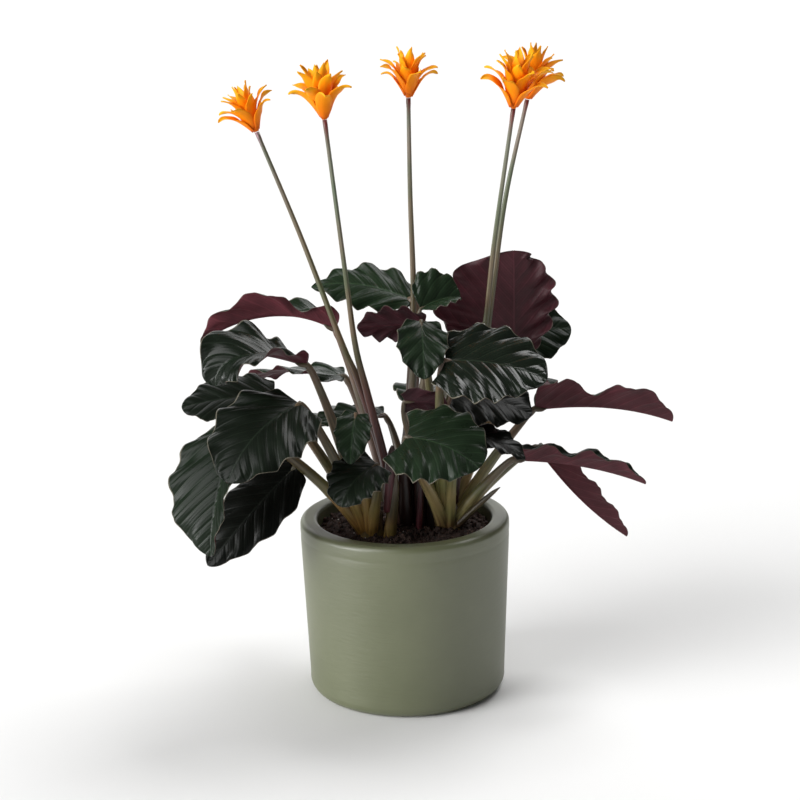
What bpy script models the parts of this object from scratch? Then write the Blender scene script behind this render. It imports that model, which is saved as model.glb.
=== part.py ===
"""A flowering prayer plant in a round ceramic pot: ruffled leaves on long petioles, five orange blooms.

Places are in millimetres from the centre of the pot's foot, with x to the right, y away from the viewer
and z up. MM turns them into Blender's metres.
"""

import math

import bmesh
import bpy
from mathutils import Vector

MM = 0.001
GAP = 0.3

# Pot
POT_HEIGHT = 137.0
POT_RADIUS = 80.0
POT_FOOT_RADIUS = 75.5
MOUTH_RADIUS = 66.5
POT_INSIDE_FOOT_RADIUS = 63.0
POT_FLOOR = 12.0
POT_SEGMENTS = 40

# Soil
SOIL_TOP = 127.0
SOIL_MOUND = 3.0
SOIL_SEGMENTS = 32

# Root crowns, one under each shoot
CROWN_RADIUS = 11.0
CROWN_DEPTH = 30.0
CROWN_TOP = SOIL_TOP + 20.0
STEM_START = SOIL_TOP + 1.0

# Petioles and flower stems
PETIOLE_FOOT = 5.2
PETIOLE_NECK = 2.3
PULVINUS = 8.0
FLOWER_STEM_FOOT = 3.5
FLOWER_STEM_TOP = 1.6

# Leaf blades
BLADE = 0.9
BLADE_ROWS = 4
BASE_HALF_WIDTH = 2.4
TIP_HALF_WIDTH = 0.7
MIDRIB_STEPS = 48

# Blooms
BRACTS = 12
BRACT_RINGS = [0.0, 0.4, 0.76, 1.0]
BRACT_HALF_WIDTH = 5.6
BLOOM_TURN = 137.5

COLOURS = {
    "pot": ((0.235, 0.270, 0.185), 0.55),
    "soil": ((0.030, 0.018, 0.014), 0.95),
    "shoot": ((0.230, 0.160, 0.065), 0.50),
    "leaf": ((0.018, 0.040, 0.022), 0.35),
    "bloom": ((0.900, 0.270, 0.010), 0.45),
}


def clear_scene():
    for obj in list(bpy.data.objects):
        bpy.data.objects.remove(obj)


def collection(name, hidden=False):
    made = bpy.data.collections.new(name)
    bpy.context.scene.collection.children.link(made)
    made.hide_render = hidden
    return made


def material(name):
    colour, roughness = COLOURS[name]
    made = bpy.data.materials.get(name) or bpy.data.materials.new(name)
    made.use_nodes = True
    shader = made.node_tree.nodes["Principled BSDF"]
    shader.inputs["Base Color"].default_value = (*colour, 1.0)
    shader.inputs["Roughness"].default_value = roughness
    made.diffuse_color = (*colour, 1.0)
    return made


def add_object(name, mesh, where, finish):
    obj = bpy.data.objects.new(name, mesh)
    mesh.materials.append(material(finish))
    where.objects.link(obj)
    return obj


def turned(name, profile, segments, where, finish):
    """A profile of (radius, height), outer side first and from the top down, turned about the z axis."""
    mesh = bpy.data.meshes.new(name)
    points = [(r * MM, 0.0, z * MM) for r, z in profile]
    mesh.from_pydata(points, [(i, i + 1) for i in range(len(points) - 1)], [])
    obj = add_object(name, mesh, where, finish)
    screw = obj.modifiers.new("turn", "SCREW")
    screw.axis = "Z"
    screw.steps = screw.render_steps = segments
    screw.use_merge_vertices = True
    screw.merge_threshold = 0.00005
    screw.use_smooth_shade = True
    return obj


def arc(centre, radius, start, end, steps):
    """Points (radius, height) on a circle's arc, with angles in degrees from the outward direction."""
    found = []
    for i in range(steps + 1):
        angle = math.radians(start + (end - start) * i / steps)
        found.append((centre[0] + radius * math.cos(angle), centre[1] + radius * math.sin(angle)))
    return found


def pot(where):
    lip, inner_lip, foot = 6.0, 4.0, 9.0
    profile = arc((POT_RADIUS - lip, POT_HEIGHT - lip), lip, 90, 0, 3)
    profile += arc((POT_FOOT_RADIUS - foot, foot), foot, 0, -90, 3)
    profile += [(0.0, 0.0)]
    inside = [(0.0, POT_FLOOR), (POT_INSIDE_FOOT_RADIUS - 6.0, POT_FLOOR), (POT_INSIDE_FOOT_RADIUS, POT_FLOOR + 6.0)]
    inside += arc((MOUTH_RADIUS + inner_lip, POT_HEIGHT - inner_lip), inner_lip, 180, 90, 2)
    return turned("pot", profile + inside + [profile[0]], POT_SEGMENTS, where, "pot")


def soil(where, crowns, cutters):
    """The soil plug, a little higher in the middle, with a plain hole for each root crown."""
    share = (SOIL_TOP - POT_FLOOR - 6.0) / (POT_HEIGHT - 4.0 - POT_FLOOR - 6.0)
    edge = POT_INSIDE_FOOT_RADIUS + (MOUTH_RADIUS - POT_INSIDE_FOOT_RADIUS) * share
    profile = [
        (0.0, SOIL_TOP + SOIL_MOUND),
        (25.0, SOIL_TOP + SOIL_MOUND * 0.8),
        (48.0, SOIL_TOP + SOIL_MOUND * 0.3),
        (edge - 2 * GAP, SOIL_TOP - 2.0),
        (POT_INSIDE_FOOT_RADIUS - 2 * GAP, POT_FLOOR + 6.5),
        (POT_INSIDE_FOOT_RADIUS - 6.5, POT_FLOOR + GAP),
        (0.0, POT_FLOOR + GAP),
    ]
    obj = turned("soil", profile, SOIL_SEGMENTS, where, "soil")
    for name, (x, y) in crowns.items():
        hole = cylinder(name + "_hole", x, y, CROWN_RADIUS + GAP, SOIL_TOP - CROWN_DEPTH - GAP, CROWN_TOP + 20.0)
        cutters.objects.link(hole)
        hole.display_type = "WIRE"
        hole.hide_render = True
        cut = obj.modifiers.new(name + "_hole", "BOOLEAN")
        cut.operation = "DIFFERENCE"
        cut.object = hole
    return obj


def cylinder(name, x, y, radius, bottom, top, taper=None, sides=14):
    bm = bmesh.new()
    bmesh.ops.create_cone(
        bm, cap_ends=True, segments=sides, radius1=radius * MM, radius2=(taper or radius) * MM, depth=(top - bottom) * MM
    )
    bmesh.ops.translate(bm, verts=bm.verts, vec=Vector((x, y, (top + bottom) / 2)) * MM)
    mesh = bpy.data.meshes.new(name)
    bm.to_mesh(mesh)
    bm.free()
    return bpy.data.objects.new(name, mesh)


def tube(name, points, radii, resolution, where):
    """A round stem through points, as a closed mesh."""
    curve = bpy.data.curves.new(name, "CURVE")
    curve.dimensions = "3D"
    curve.bevel_depth = MM
    curve.bevel_resolution = resolution
    curve.use_fill_caps = True
    spline = curve.splines.new("POLY")
    spline.points.add(len(points) - 1)
    for place, point, radius in zip(spline.points, points, radii):
        place.co = (*(Vector(point) * MM), 1.0)
        place.radius = radius
    guide = bpy.data.objects.new(name + "_line", curve)
    where.objects.link(guide)
    graph = bpy.context.evaluated_depsgraph_get()
    mesh = bpy.data.meshes.new_from_object(guide.evaluated_get(graph))
    bpy.data.objects.remove(guide)
    bm = bmesh.new()
    bm.from_mesh(mesh)
    bmesh.ops.remove_doubles(bm, verts=bm.verts, dist=0.00001)
    bm.to_mesh(mesh)
    bm.free()
    obj = bpy.data.objects.new(name, mesh)
    where.objects.link(obj)
    return obj


def union(name, pieces, where, finish):
    """One solid of overlapping pieces, which are then removed."""
    first, rest = pieces[0], pieces[1:]
    joined = bpy.data.collections.new(name + "_pieces")
    bpy.context.scene.collection.children.link(joined)
    for piece in rest:
        joined.objects.link(piece)
    if first.name not in bpy.context.scene.collection.all_objects:
        where.objects.link(first)
    boolean = first.modifiers.new("union", "BOOLEAN")
    boolean.operation = "UNION"
    boolean.operand_type = "COLLECTION"
    boolean.collection = joined
    graph = bpy.context.evaluated_depsgraph_get()
    mesh = bpy.data.meshes.new_from_object(first.evaluated_get(graph))
    for piece in pieces:
        bpy.data.objects.remove(piece)
    bpy.data.collections.remove(joined)
    mesh.name = name
    mesh.materials.clear()
    return add_object(name, mesh, where, finish)


def bezier(a, b, c, d, t):
    s = 1.0 - t
    return a * s**3 + b * (3 * s * s * t) + c * (3 * s * t * t) + d * t**3


def leaf_angles(leaf, u):
    """Heading, slope and roll of the midrib in radians, u from 0 at the neck to 1 at the tip."""
    heading = math.radians(leaf["heading"] + leaf["sweep"] * u)
    slope = math.radians(leaf["rise"] - leaf["droop"] * u ** leaf["ease"])
    roll = math.radians(leaf["roll"] + leaf["twist"] * u)
    return heading, slope, roll


def leaf_axes(leaf, u):
    """Unit vectors along the midrib, to its right and out of the upper face."""
    heading, slope, roll = leaf_angles(leaf, u)
    along = Vector((math.cos(slope) * math.cos(heading), math.cos(slope) * math.sin(heading), math.sin(slope)))
    side = Vector((math.sin(heading), -math.cos(heading), 0.0))
    up = side.cross(along)
    right = side * math.cos(roll) + up * math.sin(roll)
    normal = up * math.cos(roll) - side * math.sin(roll)
    return along, right, normal


def midrib(leaf):
    """Points along the midrib, from just past the petiole's end, by adding up short steps."""
    place = Vector(leaf["neck"]) + leaf_axes(leaf, 0.0)[0] * GAP * 1.5
    found = [place.copy()]
    step = leaf["length"] / MIDRIB_STEPS
    for i in range(MIDRIB_STEPS):
        place = place + leaf_axes(leaf, (i + 0.5) / MIDRIB_STEPS)[0] * step
        found.append(place.copy())
    return found


def half_width(leaf, u, side):
    """The blade's half width: widest near the middle, and less where a dip narrows that side.

    A small tip value makes both ends blunt, and a large one makes them pointed. A dip is its side, its place
    along the leaf, its depth as a share of the width, and its spread.
    """
    full = leaf["width"] / 2 * math.sin(math.pi * min(max(u, 0.0), 1.0) ** leaf["broad"]) ** leaf["tip"]
    for dip_side, place, depth, spread in leaf["dips"]:
        if dip_side == side:
            full *= 1.0 - depth * math.exp(-(((u - place) / spread) ** 2))
    least = BASE_HALF_WIDTH + (TIP_HALF_WIDTH - BASE_HALF_WIDTH) * u
    return max(full, least)


def leaf_point(leaf, line, u, v):
    """A point of the blade's middle surface, v from -1 at the left edge to 1 at the right one.

    Each half leaves the midrib at the fold angle and bends down by the curl. Ripples that follow the side
    veins grow towards the edge, and the base may reach back round the petiole in two lobes.
    """
    out = abs(v)
    side = 1.0 if v >= 0 else -1.0
    back = leaf["lobe"] / leaf["length"] * out**1.5 * min(1.0, 14.0 * u) * (1.0 - u) ** 4
    place_u = u - back
    at = max(place_u, 0.0) * MIDRIB_STEPS
    low = min(int(at), MIDRIB_STEPS - 1)
    on_line = line[low].lerp(line[low + 1], at - low)
    along, right, normal = leaf_axes(leaf, max(place_u, 0.0))
    if place_u < 0.0:
        on_line = on_line + along * place_u * leaf["length"]
    fold = math.radians(leaf["fold"])
    bend = math.radians(leaf["curl"]) or 0.001
    reach = (math.sin(fold) - math.sin(fold - bend * out)) / bend
    rise = (math.cos(fold - bend * out) - math.cos(fold)) / bend
    turn = 2 * math.pi * (leaf["waves"] * (u - 0.28 * out)) + leaf["phase"] + (1.3 if side > 0 else 0.0)
    fade = min(1.0, 6.0 * u, 7.0 * (1.0 - u) + 0.1)
    ripple = leaf["wave"] * out**2 * math.sin(turn) * fade
    width = half_width(leaf, u, side) * (1.0 + 0.05 * out * math.cos(turn) * fade + leaf["uneven"] * side * fade)
    return on_line + right * (side * width * reach) + normal * (width * rise + ripple)


def blade(leaf, where):
    """The leaf's blade: a flat grid set on the leaf's surface, split into triangles, then given its thickness."""
    columns = leaf["columns"]
    line = midrib(leaf)
    bm = bmesh.new()
    bmesh.ops.create_grid(bm, x_segments=columns, y_segments=BLADE_ROWS, size=1.0)
    for vertex in bm.verts:
        t = (vertex.co.x + 1.0) / 2.0
        u = 0.5 * t + 0.25 * (1.0 - math.cos(math.pi * t))
        vertex.co = leaf_point(leaf, line, u, vertex.co.y) * MM
    bmesh.ops.triangulate(bm, faces=bm.faces)
    bmesh.ops.recalc_face_normals(bm, faces=bm.faces)
    mesh = bpy.data.meshes.new(leaf["name"])
    bm.to_mesh(mesh)
    bm.free()
    mesh.shade_smooth()
    obj = add_object(leaf["name"], mesh, where, "leaf")
    thick = obj.modifiers.new("thickness", "SOLIDIFY")
    thick.thickness = BLADE * MM
    thick.offset = 0.0
    return obj


def leaf(name, shoot, neck, heading, rise, droop, length, width, **more):
    """A leaf's shape and place. Angles are in degrees, heading 0 to the right and 90 away from the viewer."""
    made = {
        "name": "leaf_" + name, "shoot": shoot, "neck": neck, "heading": heading, "rise": rise, "droop": droop,
        "length": length, "width": width, "sweep": 0.0, "roll": 0.0, "twist": 0.0, "fold": 15.0, "curl": 20.0,
        "lobe": 6.0, "broad": 0.75, "tip": 0.6, "dips": (), "waves": 4.0, "wave": 2.6, "phase": 0.0, "ease": 1.3,
        "bow": 0.12, "uneven": 0.0, "columns": 14,
    }
    made.update(more)
    return made


CROWNS = {"left": (-26.0, -20.0), "middle": (-4.0, 8.0), "right": (32.0, -8.0), "back": (8.0, 34.0)}

LEAVES = [
    leaf(
        "upper_left", "middle", (-50, 20, 279), 180, 36, 72, 108, 46,
        roll=-22, fold=50, curl=16, ease=0.76, dips=[(-1, 0.29, 0.8, 0.09)],
    ),
    leaf(
        "left_high", "left", (-69, -42, 267), 184, 18, 112, 80, 64,
        roll=-30, twist=85, fold=26, wave=4, ease=2.6, broad=1.05,
    ),
    leaf("left_far", "left", (-96, -6, 234), 180, 2, 18, 70, 54, roll=26, columns=12, fold=10, tip=0.5, wave=1.5),
    leaf("left_broad", "left", (-74, -62, 243), -135, -8, 54, 86, 76, roll=20, fold=8, lobe=8, wave=3.5, tip=0.55),
    leaf(
        "left_low", "left", (-117, -56, 226), -117, -42, 40, 100, 70,
        roll=-22, fold=34, uneven=0.2, wave=2, broad=0.85, tip=0.55,
    ),
    leaf("left_hanging", "left", (-80, -34, 188), -157, -39, 10, 98, 48, roll=44, fold=8),
    leaf("left_back", "middle", (-44, 36, 238), 180, 14, 40, 82, 42, roll=14, twist=-56, fold=12, columns=12),
    leaf("back_left", "back", (-14, 52, 202), 184, 4, 30, 62, 38, roll=4, fold=24, columns=12),
    leaf("small_left", "left", (-34, -60, 234), -100, -30, 52, 40, 27, roll=10, columns=12, wave=2),
    leaf("small_front", "left", (-19, -62, 196), -142, -10, 62, 44, 47, roll=18, columns=12, waves=5, wave=2, tip=0.5),
    leaf("front", "right", (2, -74, 220), -30, 2, 40, 62, 70, roll=-34, fold=6, lobe=20, waves=4.5, tip=0.5),
    leaf("right_glossy", "right", (31, -58, 272), -14, 4, 30, 76, 70, roll=-38, fold=8, lobe=18, waves=5),
    leaf("right_shaded", "right", (38, -26, 239), -12, -2, 30, 60, 60, roll=-24, fold=10, columns=12, tip=0.5),
    leaf("small_right", "right", (44, -52, 216), -16, -4, 40, 50, 32, roll=-12, columns=12, wave=1.5),
    leaf(
        "right_high", "right", (100, 0, 219), 2, 4, 26, 106, 60,
        roll=24, fold=46, curl=14, broad=0.66, tip=0.5, wave=2, dips=[(1, 0.42, 0.55, 0.15), (-1, 0.38, 0.3, 0.16)],
    ),
    leaf(
        "right_middle", "right", (82, -28, 188), -6, -2, 20, 100, 38,
        roll=12, fold=48, curl=14, tip=0.5, wave=2, dips=[(1, 0.4, 0.4, 0.1), (-1, 0.4, 0.35, 0.09)],
    ),
    leaf("right_low", "right", (103, 14, 185), -4, -56, -22, 100, 44, roll=26, fold=42, wave=1.2, tip=0.5),
    leaf(
        "upper_purple", "right", (87, 44, 252), -86, 86, -6, 80, 94,
        fold=4, curl=10, lobe=4, broad=1.05, tip=0.5, uneven=0.3, waves=5, wave=4,
    ),
    leaf("upper_back", "back", (68, 80, 248), 12, 20, 26, 70, 58, roll=-45, fold=8, tip=0.5),
    leaf("top_left", "middle", (10, 34, 297), 166, 22, 38, 82, 46, roll=34, fold=8, wave=3.5, tip=0.8),
    leaf(
        "top_right", "middle", (15, 3, 297), 16, 26, 34, 32, 50,
        roll=-30, fold=45, columns=12, tip=0.5, wave=1.5, bow=0.03, lobe=1,
    ),
    leaf("top_purple", "middle", (18, -12, 289), 184, 2, 8, 50, 38, roll=-52, fold=12, columns=12, broad=1.0, tip=0.5),
    leaf("centre_front", "right", (15, -38, 297), -88, -30, 46, 48, 38, roll=8, twist=-20, fold=8, columns=12, wave=3),
    leaf("inner_red", "right", (1, -36, 236), 0, 4, 26, 32, 26, roll=62, fold=8, columns=12, tip=0.5),
    leaf("back_high", "back", (52, 76, 262), 70, 50, 56, 78, 56, fold=14, columns=12),
    leaf("back_right", "back", (58, 66, 220), 40, 8, 46, 90, 60, fold=14, columns=12),
    leaf("back_middle", "back", (30, 78, 198), 98, 18, 54, 92, 62, fold=14, columns=12),
    leaf("back_low", "back", (-34, 74, 190), 142, 4, 46, 94, 60, fold=14, columns=12),
]

FLOWERS = [
    ("far_left", "middle", 1.0, 20, [(-14, 0, 176), (-32, -1, 241), (-44, 5, 270), (-74, 20, 352), (-104, 30, 428)]),
    ("left", "middle", 1.1, 100, [(-14, -9, 182), (-26, -11, 236), (-34, -11, 273), (-40, -10, 327), (-52, -10, 441)]),
    ("middle", "middle", 0.98, 200, [(2, 10, 182), (6, 13, 236), (10, 15, 301), (9, 18, 380), (9, 20, 452)]),
    ("right", "right", 1.15, 10, [(42, -2, 180), (54, 6, 236), (64, 12, 284), (71, 8, 347), (85, 0, 445)]),
    ("far_right", "right", 1.1, 150, [(46, 10, 180), (60, 20, 236), (68, 24, 290), (80, 25, 374), (97, 30, 448)]),
]


def smooth_line(points, steps):
    """Points on a smooth curve through the given ones."""
    places = [Vector(p) for p in points]
    padded = [places[0] * 2 - places[1], *places, places[-1] * 2 - places[-2]]
    found = []
    for i in range(len(places) - 1):
        a, b, c, d = padded[i : i + 4]
        for j in range(steps):
            found.append(bezier(b, b + (c - a) / 6, c - (d - b) / 6, c, j / steps))
    return [*found, places[-1]]


def petiole(leaf, scratch):
    """The leaf's stalk, from its root crown to the swollen joint that turns into the midrib."""
    x, y = CROWNS[leaf["shoot"]]
    neck = Vector(leaf["neck"])
    along = leaf_axes(leaf, 0.0)[0]
    joint = neck - along * PULVINUS
    away = Vector((joint.x - x, joint.y - y, 0.0))
    start = Vector((x, y, STEM_START)) + away.normalized() * 4.0
    span = (joint - start).length
    first = start + (joint - start) * 0.25 + Vector((0, 0, 1)) * (span * leaf["bow"])
    second = joint - along * (span * leaf["bow"]) - (joint - start) * 0.12
    points = [bezier(start, first, second, joint, i / 5) for i in range(6)]
    slim = 0.6 + 0.4 * min(1.0, max(0.0, (leaf["length"] - 36.0) / 40.0))
    top = slim * PETIOLE_NECK
    radii = [PETIOLE_FOOT + (top * 1.15 - PETIOLE_FOOT) * i / 5 for i in range(6)]
    return tube(leaf["name"] + "_stalk", [*points, neck], [*radii, top], 1, scratch)


def shoot(name, where, scratch):
    """A root crown with its petioles and flower stems, grown together as one piece."""
    x, y = CROWNS[name]
    crown = cylinder("crown_" + name, x, y, CROWN_RADIUS, SOIL_TOP - CROWN_DEPTH, CROWN_TOP, taper=CROWN_RADIUS - 1.5)
    scratch.objects.link(crown)
    pieces = [crown] + [petiole(leaf, scratch) for leaf in LEAVES if leaf["shoot"] == name]
    for flower, its_shoot, _, _, route in FLOWERS:
        if its_shoot != name:
            continue
        start = (x + (route[0][0] - x) * 0.3, y + (route[0][1] - y) * 0.3, STEM_START)
        points = smooth_line([start, *route], 2)
        last = len(points) - 1
        radii = [FLOWER_STEM_FOOT + (FLOWER_STEM_TOP - FLOWER_STEM_FOOT) * i / last for i in range(last + 1)]
        pieces.append(tube(flower + "_flower_stem", points, radii, 1, scratch))
    return union("shoot_" + name, pieces, where, "shoot")


def bract_line(index, foot, along, size, turned):
    """The four points that a bract's centre line bends between, and its outward direction.

    The bracts leave the core close to its foot and climb together as a cup. Their tips then turn out and lie on
    a dome, the first ones low and wide, and the last ones near its top.
    """
    share = index / (BRACTS - 1)
    turn = math.radians(BLOOM_TURN * index + turned)
    across = along.cross(Vector((0.0, 1.0, 0.2))).normalized()
    out = across * math.cos(turn) + along.cross(across) * math.sin(turn)
    lift = math.radians(6.0 + 72.0 * share + 5.0 * math.sin(3.3 * index))
    far = (23.5 - 3.0 * share + 1.5 * math.sin(5.1 * index)) * size
    tip = foot + along * (16.0 + 2.0 * share) * size + (out * math.cos(lift) + along * math.sin(lift)) * far
    start = foot + along * (1.5 + 13.0 * share) * size + out * 1.2
    span = (tip - start).length
    lean = math.radians(30.0 - 20.0 * share)
    first = start + (along * math.cos(lean) + out * math.sin(lean)) * span * 0.45
    level = lift - math.radians(38.0 * (1.0 - share))
    second = tip - (out * math.cos(level) + along * math.sin(level)) * span * 0.36
    return (start, first, second, tip), out


def bract(index, foot, along, size, turned, scratch):
    """One bract: a pointed, keeled tongue, widest at a third of its length."""
    line, out = bract_line(index, foot, along, size, turned)
    side = along.cross(out)
    bm = bmesh.new()
    rings = []
    for t in BRACT_RINGS:
        at = bezier(*line, t)
        ahead = (bezier(*line, min(t + 0.02, 1.0)) - bezier(*line, max(t - 0.02, 0.0))).normalized()
        under = side.cross(ahead)
        width = (BRACT_HALF_WIDTH * math.sin(math.pi * (0.12 + 0.88 * t)) ** 0.8 + 0.35) * size
        depth = (2.0 - 1.3 * t) * size
        corners = [at + side * width, at - side * width, at + under * depth]
        rings.append([bm.verts.new(corner * MM) for corner in corners])
    for low, high in zip(rings, rings[1:]):
        for i in range(3):
            j = (i + 1) % 3
            bm.faces.new((low[i], low[j], high[j], high[i]))
    bm.faces.new(rings[0])
    bm.faces.new(rings[-1][::-1])
    bmesh.ops.triangulate(bm, faces=bm.faces)
    bmesh.ops.recalc_face_normals(bm, faces=bm.faces)
    mesh = bpy.data.meshes.new("bract")
    bm.to_mesh(mesh)
    bm.free()
    made = bpy.data.objects.new("bract", mesh)
    scratch.objects.link(made)
    return made


def bloom(name, route, size, turned, where, scratch):
    """A head of spirally set bracts on a slim core, at the end of a flower stem."""
    end, before = Vector(route[-1]), Vector(route[-2])
    along = (end - before).normalized()
    foot = end + along * GAP * 1.5
    places = [foot + along * (height * size) for height in (0, 6, 17, 28)]
    core = tube("core", places, [1.9, 3.4, 4.4, 1.0], 1, scratch)
    bracts = [bract(i, foot, along, size, turned, scratch) for i in range(BRACTS)]
    return union("bloom_" + name, [core, *bracts], where, "bloom")


def main():
    clear_scene()
    plant = collection("potted_prayer_plant")
    cutters = collection("cutters", hidden=True)
    scratch = collection("stock")
    pot(plant)
    soil(plant, CROWNS, cutters)
    for name in CROWNS:
        shoot(name, plant, scratch)
    for one in LEAVES:
        blade(one, plant)
    for name, _, size, turned, route in FLOWERS:
        bloom(name, route, size, turned, plant, scratch)
    bpy.data.collections.remove(scratch)


main()
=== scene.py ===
"""Looks of a flowering prayer plant in a sage-green pot, built up from the pot to the flower heads.

Shapes are worked out in millimetres from the centre of the pot's foot and stored in metres.
"""

import math

import bpy
import numpy as np
from mathutils import Matrix, Vector


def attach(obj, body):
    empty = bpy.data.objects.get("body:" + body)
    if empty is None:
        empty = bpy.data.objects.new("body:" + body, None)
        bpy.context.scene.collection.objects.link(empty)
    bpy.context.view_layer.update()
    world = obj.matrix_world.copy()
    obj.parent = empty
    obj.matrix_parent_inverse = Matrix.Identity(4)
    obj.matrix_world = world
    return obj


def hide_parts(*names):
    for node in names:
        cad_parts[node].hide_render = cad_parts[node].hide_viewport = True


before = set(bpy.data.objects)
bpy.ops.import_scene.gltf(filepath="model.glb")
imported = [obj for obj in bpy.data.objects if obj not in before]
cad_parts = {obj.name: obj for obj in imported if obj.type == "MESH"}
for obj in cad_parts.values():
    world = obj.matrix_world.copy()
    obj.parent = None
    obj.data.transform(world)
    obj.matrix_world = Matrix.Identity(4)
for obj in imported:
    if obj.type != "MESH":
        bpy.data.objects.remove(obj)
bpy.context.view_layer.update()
MM = 0.001


# The pot: fired clay with a thick round lip and a satin sage-green finish, turned on a wheel.
# It's one profile carried round the axis, down the outside, under the foot and up the inside.
POT_HEIGHT, POT_RADIUS, POT_FOOT_RADIUS, MOUTH_RADIUS = 137.0, 80.0, 75.5, 66.5
POT_INSIDE_FOOT_RADIUS, POT_FLOOR, POT_TURNS = 63.0, 12.0, 160
LIP, INNER_LIP, FOOT = 4.5, 3.5, 9.0
WALL_TOP, WALL_LOW = (79.8, 120.0), (POT_FOOT_RADIUS + 0.1, 16.0)
HOLLOW_UNDER_LIP = [(80.0, 128.5), (79.9, 126.6), (79.7, 125.4), (79.7, 124.4), (79.85, 123.2)]
SAGE_DEEP, SAGE_PALE = (0.088, 0.098, 0.047), (0.109, 0.120, 0.061)


def grid_cells(index):
    """The four corners of each cell of a grid of point numbers. A transposed grid faces the other way."""
    return np.stack([index[:-1, :-1], index[:-1, 1:], index[1:, 1:], index[1:, :-1]], axis=-1).reshape(-1, 4)


def mesh_from_grid(name, places, closed_across=False, closed_along=False, flip=False):
    """A mesh from an array of points, shaped (along, across, 3) in millimetres.

    Each cell of the grid is one four-cornered face, and a closed direction joins its last row to its first.
    """
    rows, columns = places.shape[:2]
    index = np.arange(rows * columns).reshape(rows, columns)
    if closed_along:
        index = np.vstack([index, index[:1]])
    if closed_across:
        index = np.hstack([index, index[:, :1]])
    cells = grid_cells(index.T)
    return mesh_from_faces(name, places.reshape(-1, 3), cells[:, ::-1] if flip else cells)


def mesh_from_faces(name, points, faces):
    """A smooth-shaded mesh from points in millimetres and an array of four-cornered faces."""
    mesh = bpy.data.meshes.new(name)
    mesh.vertices.add(len(points))
    mesh.vertices.foreach_set("co", (np.asarray(points, float) * MM).ravel())
    mesh.loops.add(faces.size)
    mesh.loops.foreach_set("vertex_index", faces.ravel().astype(np.int32))
    mesh.polygons.add(len(faces))
    mesh.polygons.foreach_set("loop_start", np.arange(0, faces.size, faces.shape[1], dtype=np.int32))
    mesh.update(calc_edges=True)
    mesh.shade_smooth()
    return mesh


def put_on_plant(name, mesh, finishes, slot, *nodes):
    """Adds the piece to the scene, on the plant's one body, in place of the CAD nodes it stands for."""
    piece = bpy.data.objects.new(name, mesh)
    bpy.context.scene.collection.objects.link(piece)
    for finish in finishes:
        mesh.materials.append(finish)
    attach(piece, "root")
    if nodes:
        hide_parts(*nodes)
    return piece


def arc(centre, radius, start, end, steps):
    """Points (radius, height) on part of a circle, with angles in degrees from the outward direction."""
    angle = np.radians(np.linspace(start, end, steps))
    return np.stack([centre[0] + radius * np.cos(angle), centre[1] + radius * np.sin(angle)], axis=1)


def turned_surface(profile, turns):
    """Each profile point (r, z) goes to (r cos a, r sin a, z) at every angle a in turns."""
    r, z = profile[:, 0], profile[:, 1]
    x, y = np.outer(np.cos(turns), r), np.outer(np.sin(turns), r)
    return np.stack([x, y, np.broadcast_to(z, x.shape)], axis=-1)


def node_tree(name, roughness):
    """A new material with its Principled shader, and a function that adds a node and sets its inputs."""
    made = bpy.data.materials.new(name)
    made.use_nodes = True
    shader = made.node_tree.nodes["Principled BSDF"]
    shader.inputs["Roughness"].default_value = roughness

    def add(kind, inputs=(), **settings):
        node = made.node_tree.nodes.new(kind)
        for key, value in settings.items():
            setattr(node, key, value)
        for key, value in dict(inputs).items():
            if isinstance(value, bpy.types.NodeSocket):
                made.node_tree.links.new(value, node.inputs[key])
            else:
                node.inputs[key].default_value = value
        return node

    def link(out, socket):
        made.node_tree.links.new(out, socket)

    return made, shader, add, link


def colours_between(add, factor, stops):
    """A colour ramp node, with stops of (place, linear colour)."""
    ramp = add("ShaderNodeValToRGB", {"Fac": factor})
    elements = ramp.color_ramp.elements
    while len(elements) < len(stops):
        elements.new(0.5)
    for element, (place, colour) in zip(elements, stops):
        element.position = place
        element.color = (*colour, 1.0)
    return ramp.outputs["Color"]


def mixed_colours(add, share, first, second, how="MIX"):
    """The first colour with a share of the second laid over it, or multiplied by it."""
    inputs = {"Factor": share, 6: first, 7: second}
    return add("ShaderNodeMix", inputs, data_type="RGBA", blend_type=how).outputs[2]


def raised(add, height, strength, distance, over=None, sunk=False):
    """Light falls as if the height, at most the distance in metres, stood out of the surface or was sunk."""
    inputs = {"Height": height, "Strength": strength, "Distance": distance}
    if over is not None:
        inputs["Normal"] = over
    return add("ShaderNodeBump", inputs, invert=sunk).outputs["Normal"]


def glazed_clay():
    """Satin sage green: slow clouds of tone, faint rings from the wheel and a fine level grain."""
    made, shader, add, link = node_tree("sage_glaze", 0.42)
    place = add("ShaderNodeTexCoord").outputs["Object"]
    clouds = add("ShaderNodeTexNoise", {"Vector": place, "Scale": 14.0, "Detail": 5.0, "Roughness": 0.6})
    tone = colours_between(add, clouds.outputs["Fac"], [(0.3, SAGE_DEEP), (0.7, SAGE_PALE)])
    link(tone, shader.inputs["Base Color"])
    shine = add("ShaderNodeMapRange", {"Value": clouds.outputs["Fac"], "To Min": 0.38, "To Max": 0.46})
    link(shine.outputs["Result"], shader.inputs["Roughness"])
    surface = None
    for squeeze, strength, height in (((4.0, 4.0, 90.0), 0.25, 0.0006), ((90.0, 90.0, 520.0), 0.8, 0.0002)):
        squeezed = add("ShaderNodeMapping", {"Vector": place, "Scale": squeeze}).outputs["Vector"]
        lines = add("ShaderNodeTexNoise", {"Vector": squeezed, "Scale": 1.0, "Detail": 3.0})
        surface = raised(add, lines.outputs["Fac"], strength, height, over=surface)
    link(surface, shader.inputs["Normal"])
    shader.inputs["Specular IOR Level"].default_value = 0.90
    return made


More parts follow.
